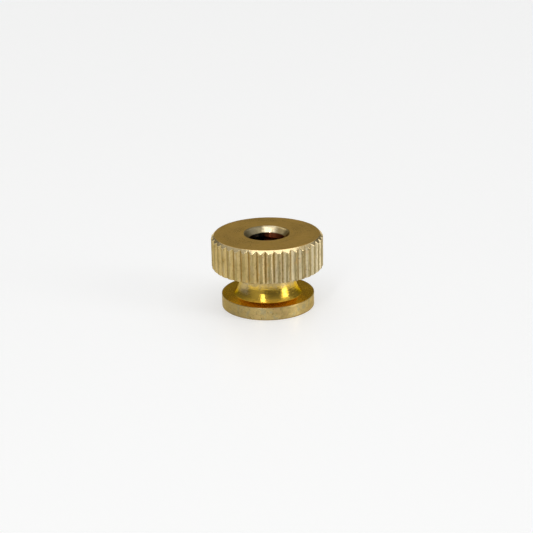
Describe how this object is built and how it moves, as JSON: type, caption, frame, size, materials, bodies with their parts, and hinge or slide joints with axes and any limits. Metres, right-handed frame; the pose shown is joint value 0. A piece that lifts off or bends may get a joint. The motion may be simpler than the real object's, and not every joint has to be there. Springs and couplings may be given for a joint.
{
  "type": "knurled thumb nut",
  "caption": "Round thumb nut with a straight-knurled head, a grooved neck and a collar flange, threaded right through for tightening on a stud by hand.",
  "frame": {"origin": "centre of the flange's underside, on the thread axis", "axes": "+Z along the thread axis, from the flange up to the knurled head; +X and +Y are free directions across it, and the front view looks along +Y"},
  "size_m": [0.012, 0.012, 0.008],
  "materials": {
    "brass": "machined brass, lightly tarnished, satin on the turned faces and brighter in the neck"
  },
  "bodies": {
    "root": {"thumb_nut": "brass"}
  },
  "joints": []
}
